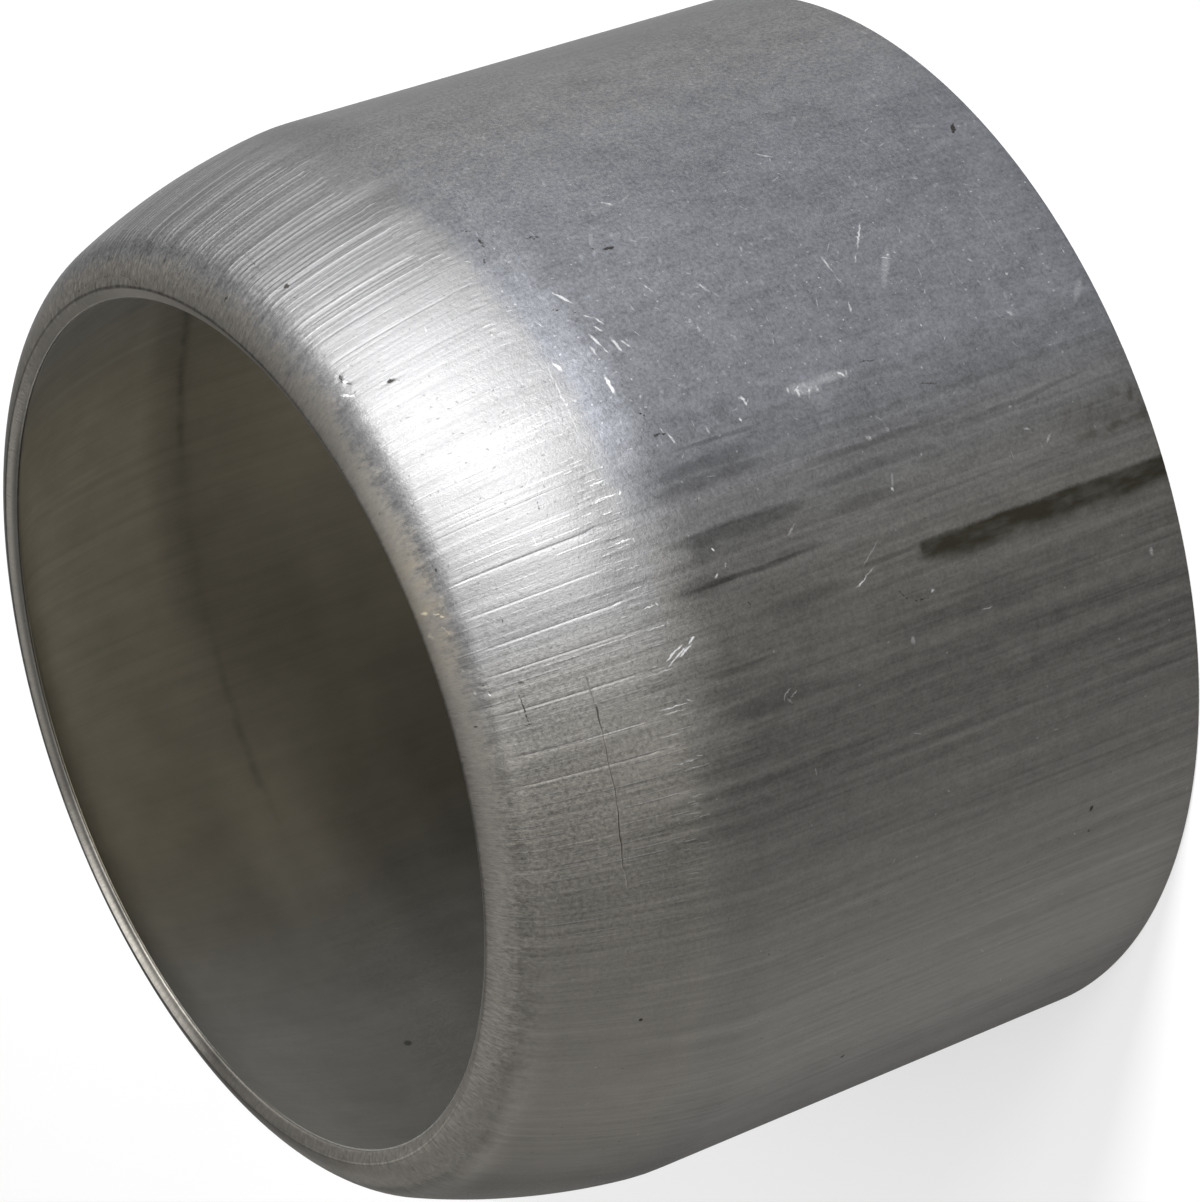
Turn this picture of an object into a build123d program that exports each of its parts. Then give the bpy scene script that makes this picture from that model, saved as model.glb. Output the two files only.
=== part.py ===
from build123d import *
import os
from math import cos, radians, sin

# Spacer sleeve: a short piece of drawn aluminium tube, one solid of revolution.
# It stands on its square-cut end at Z = 0, with the axis along +Z. Its other end
# is rolled inwards: the wall turns in over a soft shoulder, a long shallow flank
# and a tight nose, and stops at a narrow end face round a smaller mouth.
# All sizes are in millimetres, and all turns are in degrees from the axis.

# Tube
outer_diameter = 60.0
wall = 1.5
length = 41.5

# Rolled end, from the tube towards the mouth
shoulder_radius = 9.0
shoulder_turn = 8.0
flank_turn = 23.6
nose_radius = 4.15
nose_turn = 75.7

# End face round the mouth: a shallow cone that falls towards the mouth
lip_diameter = 48.6
mouth_diameter = 47.1
lip_dish = 0.4

# Square-cut end
edge_break = 0.2

outer_radius = outer_diameter / 2
bore_radius = outer_radius - wall
lip_radius = lip_diameter / 2
mouth_radius = mouth_diameter / 2


def arc_rise(radius, turn_from, turn_to):
    """Height gained along the axis by an arc that turns in between two angles."""
    return radius * (sin(radians(turn_to)) - sin(radians(turn_from)))


def arc_closing(radius, turn_from, turn_to):
    """Radius lost by the wall along an arc that turns in between two angles."""
    return radius * (cos(radians(turn_from)) - cos(radians(turn_to)))


# The flank's arc takes up what the shoulder and the nose leave of the closing
total_closing = outer_radius - lip_radius
other_closing = arc_closing(shoulder_radius, 0, shoulder_turn) + arc_closing(
    nose_radius, flank_turn, nose_turn
)
flank_radius = (total_closing - other_closing) / arc_closing(1, shoulder_turn, flank_turn)

rolled_height = (
    arc_rise(shoulder_radius, 0, shoulder_turn)
    + arc_rise(flank_radius, shoulder_turn, flank_turn)
    + arc_rise(nose_radius, flank_turn, nose_turn)
)
shoulder_height = length - rolled_height


def turning_arc(start, radius, turn_from, turn_to):
    """An arc that goes on from an edge's end, turning in towards the axis."""
    heading = (-sin(radians(turn_from)), cos(radians(turn_from)))
    return JernArc(start, heading, radius, turn_to - turn_from)


def sleeve_section():
    """Half section of the wall, with the radius along X and the axis along Y."""
    with BuildSketch(Plane.XZ) as section:
        with BuildLine():
            # Outside, from the broken edge of the square end up to the lip
            outside = Line((outer_radius, edge_break), (outer_radius, shoulder_height))
            shoulder = turning_arc(outside @ 1, shoulder_radius, 0, shoulder_turn)
            flank = turning_arc(shoulder @ 1, flank_radius, shoulder_turn, flank_turn)
            nose = turning_arc(flank @ 1, nose_radius, flank_turn, nose_turn)

            # End face, down to the mouth's edge
            mouth_edge = (mouth_radius, length - lip_dish)
            Line(nose @ 1, mouth_edge)

            # Inside: shoulder and flank are parallel to the outside, and the nose
            # thins the wall from its full thickness to the width of the end face
            bore = Line((bore_radius, edge_break), (bore_radius, shoulder_height))
            inner_shoulder = turning_arc(
                bore @ 1, shoulder_radius - wall, 0, shoulder_turn
            )
            inner_flank = turning_arc(
                inner_shoulder @ 1, flank_radius - wall, shoulder_turn, flank_turn
            )
            TangentArc(inner_flank @ 1, mouth_edge, tangent=inner_flank % 1)

            # Square end, with both edges lightly broken
            Polyline(
                bore @ 0,
                (bore_radius + edge_break, 0),
                (outer_radius - edge_break, 0),
                outside @ 0,
            )
        make_face()
    return section.sketch


def sleeve():
    """The whole sleeve, turned from its half section."""
    solid = revolve(sleeve_section(), axis=Axis.Z)
    solid.label = "sleeve"
    return solid


os.makedirs("parts", exist_ok=True)
export_step(sleeve(), "parts/sleeve.step")
print(f"flank radius {flank_radius:.2f}, shoulder at {shoulder_height:.2f} of {length}")
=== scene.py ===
import math
from types import SimpleNamespace

import bpy
import numpy as np
from mathutils import Matrix, Vector


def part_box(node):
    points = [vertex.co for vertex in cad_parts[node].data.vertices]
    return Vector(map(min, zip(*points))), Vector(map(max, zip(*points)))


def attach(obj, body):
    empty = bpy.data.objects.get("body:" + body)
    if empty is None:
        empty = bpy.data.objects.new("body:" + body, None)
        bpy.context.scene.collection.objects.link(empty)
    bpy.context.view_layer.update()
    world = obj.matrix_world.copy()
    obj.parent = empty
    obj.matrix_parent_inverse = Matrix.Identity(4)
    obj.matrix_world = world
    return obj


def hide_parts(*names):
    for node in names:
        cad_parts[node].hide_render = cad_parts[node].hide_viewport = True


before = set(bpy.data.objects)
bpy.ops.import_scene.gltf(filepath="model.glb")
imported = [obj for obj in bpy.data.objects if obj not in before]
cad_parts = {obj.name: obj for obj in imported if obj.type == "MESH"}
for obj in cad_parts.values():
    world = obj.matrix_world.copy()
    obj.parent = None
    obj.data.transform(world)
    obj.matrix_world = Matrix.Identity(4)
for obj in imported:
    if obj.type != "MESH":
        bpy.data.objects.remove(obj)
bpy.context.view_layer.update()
cadLow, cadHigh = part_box("sleeve")
mm = 0.001
tubeRadius = (cadHigh.x - cadLow.x) / 2 / mm  # the mesh is worked out in millimetres
tubeLength = (cadHigh.z - cadLow.z) / mm
degreeArc = math.radians(1) * tubeRadius  # millimetres along the outside for one degree

# Half section of the sleeve. Turns are in degrees from the axis.
section = {
    "wall": 1.5,
    "shoulderRadius": 9.0,
    "shoulderTurn": 8.0,
    "flankTurn": 23.6,
    "noseRadius": 4.15,
    "noseTurn": 75.7,
    "lipRadius": 24.3,
    "mouthRadius": 23.55,
    "lipDish": 0.4,
    "lipRound": 0.08,  # soft edges either side of the end face
    "mouthRound": 0.32,
    "edgeBreak": 0.2,
    "step": 0.05,  # spacing of the points that carry the curve
}


def arc(start, radius, turnFrom, turnTo):
    # an arc that turns in towards the axis, without its first point
    count = max(2, round(math.radians(turnTo - turnFrom) * radius / section["step"]))
    turns = np.radians(np.linspace(turnFrom, turnTo, count + 1))[1:]
    first = math.radians(turnFrom)
    return [(start[0] - radius * (math.cos(first) - math.cos(t)),
             start[1] + radius * (math.sin(t) - math.sin(first))) for t in turns]


def softCorner(before, corner, after, size, count=6):
    before, corner, after = map(np.array, (before, corner, after))
    a = corner + (before - corner) / np.linalg.norm(before - corner) * size
    b = corner + (after - corner) / np.linalg.norm(after - corner) * size
    return [tuple((1 - t) ** 2 * a + 2 * t * (1 - t) * corner + t * t * b)
            for t in np.linspace(0, 1, count + 1)]


def halfSection():
    # (radius, height) from the foot up the outside, over the lip, down the bore and back under the foot
    s = section
    turns = [math.radians(s[k]) for k in ("shoulderTurn", "flankTurn", "noseTurn")]
    closing = [s["shoulderRadius"] * (1 - math.cos(turns[0])),
               s["noseRadius"] * (math.cos(turns[1]) - math.cos(turns[2]))]
    flankRadius = (tubeRadius - s["lipRadius"] - sum(closing)) / (math.cos(turns[0]) - math.cos(turns[1]))
    rolled = (s["shoulderRadius"] * math.sin(turns[0])
              + flankRadius * (math.sin(turns[1]) - math.sin(turns[0]))
              + s["noseRadius"] * (math.sin(turns[2]) - math.sin(turns[1])))
    shoulder = tubeLength - rolled
    bore = tubeRadius - s["wall"]
    foot = s["edgeBreak"]

    line = softCorner((tubeRadius - 1, 0), (tubeRadius, 0), (tubeRadius, 1), foot)
    marks = {"outsideStart": len(line) - 1}
    line += [(tubeRadius, shoulder)]
    line += arc(line[-1], s["shoulderRadius"], 0, s["shoulderTurn"])
    line += arc(line[-1], flankRadius, s["shoulderTurn"], s["flankTurn"])
    marks["noseStart"] = len(line) - 1
    line += arc(line[-1], s["noseRadius"], s["flankTurn"], s["noseTurn"])
    lip = line.pop()
    mouth = (s["mouthRadius"], tubeLength - s["lipDish"])
    marks["lipStart"] = len(line)
    line += softCorner(line[-1], lip, mouth, s["lipRound"])
    inner = [(bore, foot), (bore, shoulder)]
    inner += arc(inner[-1], s["shoulderRadius"] - s["wall"], 0, s["shoulderTurn"])
    inner += arc(inner[-1], flankRadius - s["wall"], s["shoulderTurn"], s["flankTurn"])
    start = np.array(inner[-1])
    side = -np.array((math.cos(turns[1]), math.sin(turns[1])))
    reach = np.array(mouth) - start
    innerNose = float(reach @ reach / (2 * reach @ side))
    centre = start + side * innerNose
    endTurn = math.degrees(math.atan2(mouth[1] - centre[1], mouth[0] - centre[0]))
    inner += arc(inner[-1], innerNose, s["flankTurn"], endTurn)
    inner.pop()
    marks["mouthStart"] = len(line)
    line += softCorner(line[-1], mouth, inner[-1], s["mouthRound"], 9)
    marks["boreStart"] = len(line) - 1
    line += inner[::-1]
    marks["boreEnd"] = len(line) - 1
    line += softCorner(line[-1], (bore, 0), (bore + 1, 0), foot)[1:]
    line += [line[0]]
    line = np.array(line)
    along = np.concatenate([[0], np.cumsum(np.hypot(*np.diff(line, axis=0).T))])
    return line, along, {name: along[i] for name, i in marks.items()}


profile, alongProfile, landmarks = halfSection()
outsideEnd = landmarks["lipStart"]


def pointAt(along):
    # radius, height and outward normal of the half section
    along = np.asarray(along, float)
    radius = np.interp(along, alongProfile, profile[:, 0])
    height = np.interp(along, alongProfile, profile[:, 1])
    reach = np.array([-0.04, 0.04])[(...,) + (None,) * along.ndim]  # the slope is taken over this
    dr, dh = (np.diff(np.interp(along + reach, alongProfile, profile[:, i]), axis=0)[0] for i in (0, 1))
    size = np.maximum(np.hypot(dr, dh), 1e-9)
    return radius, height, dh / size, -dr / size


def alongAt(height):
    # place on the outside for a height below the lip
    onOutside = alongProfile <= outsideEnd
    return np.interp(height, profile[onOutside, 1], alongProfile[onOutside])


# Lines that the rolling left along the flank. Around is degrees from the front towards +X, the rest is in
# millimetres.
rolling = {
    "seed": 41,
    "firstEnd": 33.15,
    "secondStart": 32.95,
    "secondEnd": 31.3,
    "hook": 0.08,  # how far a line bends sideways at its end
    # stretches: from, to (degrees), spacing, half width and depth ranges, height where the lines start
    "stretches": [
        (-31, 8, (0.5, 1.3), (0.09, 0.14), (0.002, 0.007), 40.1),
        (8, 40, (0.45, 0.9), (0.1, 0.2), (0.003, 0.008), 39.85),
        (40, 84, (0.3, 0.55), (0.12, 0.26), (0.006, 0.022), 40.45),
        (84, 262, (0.7, 1.5), (0.18, 0.36), (0.008, 0.022), 40.3),
        (262, 329, (0.9, 2.2), (0.14, 0.36), (0.002, 0.006), 40.2)],
    # deeper lines one by one: around, half width, depth
    "deep": [
        (73.8, 0.26, 0.024), (70.2, 0.22, 0.02), (66.5, 0.2, 0.024), (62.7, 0.2, 0.026),
        (59.6, 0.14, 0.018), (57.2, 0.18, 0.026), (54.3, 0.12, 0.016), (51.6, 0.14, 0.022),
        (49.4, 0.1, 0.014), (47.8, 0.13, 0.024), (46, 0.12, 0.022), (44.4, 0.11, 0.022),
        (41.2, 0.12, 0.024), (38.6, 0.09, 0.012), (35.4, 0.1, 0.013), (20.8, 0.08, 0.007),
        (11.8, 0.07, 0.008), (9.4, 0.06, 0.009), (6.7, 0.07, 0.01), (2.8, 0.07, 0.012),
        (-0.8, 0.08, 0.015), (-3.7, 0.07, 0.012), (-7.9, 0.07, 0.013), (-9.8, 0.06, 0.009),
        (-12.6, 0.07, 0.013), (-15.8, 0.07, 0.012), (-18.4, 0.07, 0.01), (-19.7, 0.06, 0.008),
        (-23, 0.07, 0.009), (-26, 0.07, 0.009), (-27.1, 0.06, 0.007), (-29, 0.06, 0.006)],
}

# A hairline crack across the flank: around, height, half width
crack = {
    "path": [
        (-6.2, 35.71, 0.008), (-7.2, 35.7, 0.019), (-8.1, 35.69, 0.015), (-8.9, 35.68, 0.02),
        (-9.6, 35.66, 0.016), (-10.1, 35.62, 0.046), (-10.9, 35.66, 0.04), (-11.6, 35.66, 0.027),
        (-12.4, 35.62, 0.024), (-13.3, 35.68, 0.022), (-14.2, 35.65, 0.026), (-15.4, 35.69, 0.024),
        (-17.1, 35.66, 0.027), (-18.6, 35.61, 0.028), (-19.8, 35.66, 0.023), (-20.8, 35.64, 0.032),
        (-22.2, 35.71, 0.044), (-23.4, 35.74, 0.042), (-24.4, 35.7, 0.045), (-25.6, 35.75, 0.03),
        (-26.7, 35.77, 0.027), (-27.5, 35.66, 0.016), (-29, 35.61, 0.006)],
    "depth": 0.07,
}

# Small knocks in the metal: around, height, half length, half width, lean in degrees, depth
knocks = [
    (47.9, 38.97, 0.19, 0.15, 10, 0.09), (29.9, 38.19, 0.17, 0.11, 30, 0.06),
    (33.4, 39.92, 0.42, 0.08, -16, 0.035), (32.3, 39.78, 0.26, 0.09, 30, 0.04),
    (23.6, 37.08, 0.3, 0.26, 0, 0.008), (65.2, 35.7, 0.26, 0.18, 0, 0.026),
    (5.5, 41.3, 0.2, 0.1, 24, 0.05), (4.4, 40.88, 0.26, 0.07, 28, 0.025),
    (-4.8, 40.2, 0.52, 0.08, 20, 0.05), (-5.2, 40.62, 0.17, 0.09, 30, 0.035)]

meshSteps = {
    "body": 360,  # columns below the rolled end and down the bore
    "nose": 720,
    "flankGap": 0.20,  # widest gap between columns of the flank, degrees
    "plainGap": 0.36,  # the same where the lines are faint or face backwards
    "closeFrom": -33,
    "closeTo": 84,
    "rolledFrom": 30.9,  # height where the close columns start
    "rolledTo": 40.75,
    "seams": (-120, -30, 60, 150),  # where the maps are cut, degrees
}


def rollingLines():
    random = np.random.default_rng(rolling["seed"])
    low, high = rolling["firstEnd"], 40.1
    placed = [(around, width, depth, low + random.uniform(-0.5, 0.35), high + random.uniform(-0.2, 0.2))
              for around, width, depth in rolling["deep"]]
    for start, end, gap, width, depth, high in rolling["stretches"]:
        around = start
        while around < end:
            placed.append((around, random.uniform(*width), random.uniform(*depth),
                           low + random.uniform(-1.1, 0.5), high + random.uniform(-0.25, 0.25)))
            around += random.uniform(*gap) / degreeArc
        around = start  # the short lines below
        second = 2.1 if start < 40 else 0.6
        while around < end:
            short = random.uniform(0.25, 1.0)
            top = random.uniform(rolling["secondEnd"] + short + 0.1, rolling["secondStart"] + 0.3)
            width = random.uniform(0.08, 0.17)
            placed.append((around, width, random.uniform(0.6, 1.0) * second * depth[1], top - short, top))
            around += random.uniform(0.22, 0.55) / degreeArc
    return placed


lines = rollingLines()


def flankColumns():
    places = [np.array([-180.0, 180.0]), np.array(meshSteps["seams"], float)]
    for around, width, depth in rolling["deep"]:
        places.append(around + width / degreeArc * np.array([-1, -0.5, 0, 0.5, 1]))
    for around, height, length, width, lean, depth in knocks:
        places.append(around + np.arange(-4, 5) * 0.065 / degreeArc)
    keep = np.unique(np.round(np.concatenate(places), 3))
    fixed = set(meshSteps["seams"]) | {-180.0}
    thinned = []
    for value in keep:
        if thinned and value - thinned[-1] < 0.06:
            if value in fixed:
                thinned[-1] = value
            continue
        thinned.append(value)
    filled = []
    for here, following in zip(thinned, thinned[1:] + [180.0]):
        close = meshSteps["closeFrom"] < here < meshSteps["closeTo"]
        count = max(1, math.ceil((following - here) / meshSteps["flankGap" if close else "plainGap"]))
        filled += list(here + (following - here) * np.arange(count) / count)
    return np.array([value for value in filled if value < 179.99])


flank = flankColumns()
print("columns on the flank", len(flank))


def smooth(value, low, high):
    t = np.clip((value - low) / (high - low), 0, 1)
    return t * t * (3 - 2 * t)


def lineDepth(around, height):
    # depth of the rolling lines on a grid of columns and rows
    depth = np.zeros(np.broadcast(around, height).shape)
    for centre, width, deep, low, high in lines:
        off = ((around - centre + 180) % 360 - 180) * degreeArc / width
        near = np.abs(off) < 1.6
        if not near.any():
            continue
        fall = min(0.7, (high - low) / 2)  # the start of a line is gentler than its end
        shape = np.where(np.abs(off) < 1, np.cos(off * math.pi / 2) ** 2, 0)
        shape = shape - 0.25 * np.exp(-((np.abs(off) - 1.15) / 0.28) ** 2)
        ended = smooth(height, high - fall, high + 0.15)
        depth += deep * shape * smooth(height, low - 0.12, low + 0.2) * (1 - ended)
    return depth


def knockDepth(around, along):
    depth = np.zeros(around.shape)
    for centre, height, length, width, lean, deep in knocks:
        x = ((around - centre + 180) % 360 - 180) * math.radians(1) * pointAt(alongAt(height))[0]
        y = along - alongAt(height)
        c, s = math.cos(math.radians(lean)), math.sin(math.radians(lean))
        u, v = (x * c + y * s) / length, (-x * s + y * c) / width
        far = np.sqrt(u * u + v * v)
        depth += deep * (np.exp(-(far / 0.75) ** 4) - 0.28 * np.exp(-((far - 1.25) / 0.3) ** 2))
    return depth


def gather(around, along):
    # the rows, pulled together at the small knocks
    free = smooth(along, outsideEnd - 0.2, outsideEnd - 0.9)
    for centre, height, length, width, lean, deep in knocks:
        x = ((around - centre + 180) % 360 - 180) * degreeArc
        y = along - alongAt(height)
        along = along - free * y * 0.6 * np.exp(-(x / 0.9) ** 2 - (y / 0.8) ** 2)
    return along


def crackAt(around):
    path = np.array(crack["path"])[::-1]
    height = np.interp(around, path[:, 0], path[:, 1])
    width = np.interp(around, path[:, 0], path[:, 2], left=0, right=0)
    return height, width


def rowPlaces():
    # places along the half section, each with its kind of row
    at = landmarks
    places = []

    def run(start, end, step, kind):
        count = max(1, round((end - start) / step))
        places.extend((start + (end - start) * i / count, kind) for i in range(count))

    def corner(start, end, kind, every=1):
        inside = alongProfile[(alongProfile > start - 1e-9) & (alongProfile < end - 1e-9)]
        places.extend((value, kind) for value in inside[::every])

    crackPlace = float(alongAt(35.69))
    heights = (meshSteps["rolledFrom"], 31.7, 33.6, meshSteps["rolledTo"])
    rolled, second, first, top = (float(alongAt(height)) for height in heights)
    corner(0, at["outsideStart"], "body", 2)
    run(at["outsideStart"], float(alongAt(26.5)), 1.5, "body")
    run(float(alongAt(26.5)), rolled, 0.6, "body")
    run(rolled, second, 0.2, "flank")
    run(second, first, 0.17, "flank")
    run(first, crackPlace - 0.5, 0.6, "flank")
    beside = (-0.30, -0.09, -0.04, 0, 0.04, 0.09, 0.30)
    places.extend((crackPlace + offset, f"crack{i}") for i, offset in enumerate(beside))
    run(crackPlace + 0.6, float(alongAt(39.3)), 0.62, "flank")
    run(float(alongAt(39.3)), top, 0.3, "flank")
    run(top, at["lipStart"], 0.2, "nose")
    corner(at["lipStart"], at["mouthStart"] - 0.01, "nose", 2)
    run(at["mouthStart"] - 0.3, at["mouthStart"], 0.3, "nose")
    corner(at["mouthStart"], at["boreStart"], "nose")
    run(at["boreStart"], at["boreStart"] + 0.9, 0.3, "nose")
    bend = at["boreStart"] + 15.5
    run(at["boreStart"] + 0.9, bend, 0.95, "body")
    run(bend, at["boreEnd"], 3.0, "body")
    corner(at["boreEnd"], alongProfile[-1] - 0.9, "body", 2)
    run(alongProfile[-1] - 0.9, alongProfile[-1], 0.45, "body")
    return places


def buildSleeve():
    places = rowPlaces()
    even = {"body": np.arange(meshSteps["body"]) * 360 / meshSteps["body"] - 180,
            "nose": np.arange(meshSteps["nose"]) * 360 / meshSteps["nose"] - 180}
    rings = []
    points = []
    cuts = []
    hits = []
    count = 0
    for place, kind in places:
        column = even.get(kind, flank)
        around = column.copy()
        along = np.full(len(column), place)
        cut = np.zeros(len(column))
        hit = np.zeros(len(column))
        deep = np.zeros(len(column))
        if kind.startswith("crack"):
            height, width = crackAt(around)
            number = int(kind[5:])
            open = smooth(width, 0, 0.010)
            centre = alongAt(35.69)
            drift = (alongAt(height) - centre) * open
            if number in (2, 4):
                along = centre + drift + (number - 3) * np.where(open > 0, np.maximum(width, 0.014), 0.04)
            else:
                along = along + drift
            if number == 3:
                deep += crack["depth"] * np.minimum(1, width / 0.04)
                hit += np.minimum(1, width / 0.032)
            if number in (2, 4):
                hit += 0.45 * np.minimum(1, width / 0.032)
        if kind != "body":
            along = gather(around, along)
        if kind == "flank" or kind.startswith("crack"):
            height = pointAt(along)[1]
            deepness = lineDepth(column, height)
            cut = deepness / 0.03
            deep += deepness
            # the ends of the lines bend sideways
            bent = smooth(height, rolling["firstEnd"] + 0.3, rolling["firstEnd"]) * smooth(height, 31.0, 32.6)
            around = around + rolling["hook"] / degreeArc * bent
        if kind != "body":
            dent = knockDepth(around, along)
            deep += dent
            hit += np.clip(dent / 0.05, -1, 1)
        radius, height, outR, outH = pointAt(along)
        if kind in ("body", "nose"):
            deep = np.maximum(deep, 0)  # nothing stands proud of the end face
        radius = radius - deep * outR
        height = height - deep * outH
        angle = np.radians(around)
        points.append(np.stack([radius * np.sin(angle), -radius * np.cos(angle), height], 1))
        cuts.append(cut)
        hits.append(hit)
        rings.append((count, column, place))
        count += len(column)

    faces = []
    maps = []
    finish = []
    total = alongProfile[-1]
    for index, (base, column, place) in enumerate(rings):
        last = index == len(rings) - 1
        nextBase, nextColumn, nextPlace = rings[0 if last else index + 1]
        nextPlace = total if last else nextPlace
        size, nextSize = len(column), len(nextColumn)
        kind = sum(nextPlace > landmarks[end] + 1e-6 for end in ("boreStart", "boreEnd"))
        i = j = 0
        while i < size or j < nextSize:
            here = column[i] if i < size else 180.0
            there = nextColumn[j] if j < nextSize else 180.0
            ahead = column[i + 1] if i + 1 < size else 180.0
            nextAhead = nextColumn[j + 1] if j + 1 < nextSize else 180.0
            a, b = base + i % size, base + (i + 1) % size
            c, d = nextBase + j % nextSize, nextBase + (j + 1) % nextSize
            if i < size and j < nextSize and abs(ahead - nextAhead) < 1e-6:
                faces.append((a, b, d, c))
                maps.append(((here, place), (ahead, place), (nextAhead, nextPlace), (there, nextPlace)))
                i += 1
                j += 1
            elif j >= nextSize or (i < size and ahead < nextAhead):
                faces.append((a, b, c))
                maps.append(((here, place), (ahead, place), (there, nextPlace)))
                i += 1
            else:
                faces.append((a, d, c))
                maps.append(((here, place), (nextAhead, nextPlace), (there, nextPlace)))
                j += 1
            finish.append(kind)

    mesh = bpy.data.meshes.new("spacerSleeve")
    mesh.from_pydata((np.concatenate(points) * mm).tolist(), [], faces)
    mesh.polygons.foreach_set("use_smooth", np.ones(len(faces), bool))
    mesh.polygons.foreach_set("material_index", np.array(finish, np.int32))
    for name, values in (("lineDepth", cuts), ("knockDepth", hits)):
        layer = mesh.attributes.new(name, "FLOAT", "POINT")
        layer.data.foreach_set("value", np.concatenate(values).astype(np.float32))
    layMaps(mesh, maps)
    carryMarks(mesh, maps, "mark", marks)
    carryMarks(mesh, maps, "soot", soot)
    mesh.update()
    print("faces", len(faces), "triangles", sum(len(f) - 2 for f in faces))
    sleeve = bpy.data.objects.new("spacerSleeve", mesh)
    bpy.context.scene.collection.objects.link(sleeve)
    return sleeve


def layMaps(mesh, maps):
    # the outside in four quarters over three quarters of the map, the bore and foot in the rest
    split = landmarks["boreStart"]
    total = alongProfile[-1]
    first = min(meshSteps["seams"])
    margin = 0.006
    values = []
    for face in maps:
        middle = sum(corner[0] for corner in face) / len(face)
        quarter = int(((middle - first) % 360) // 90)
        outside = sum(corner[1] for corner in face) / len(face) < split
        for around, along in face:
            turn = (around - first - 90 * quarter) % 360
            if turn > 225:
                turn -= 360
            u = turn / 90
            if outside:
                v = along / split
                box = (0.5 * (quarter % 2), 0.25 + 0.375 * (quarter // 2), 0.5, 0.375)
            else:
                v = (along - split) / (total - split)
                box = (0.25 * quarter, 0.0, 0.25, 0.25)
            values += [box[i] + margin + share * (box[i + 2] - 2 * margin) for i, share in enumerate((u, v))]
    layer = mesh.uv_layers.new(name="OFBake")
    layer.data.foreach_set("uv", np.array(values, np.float32))


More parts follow.
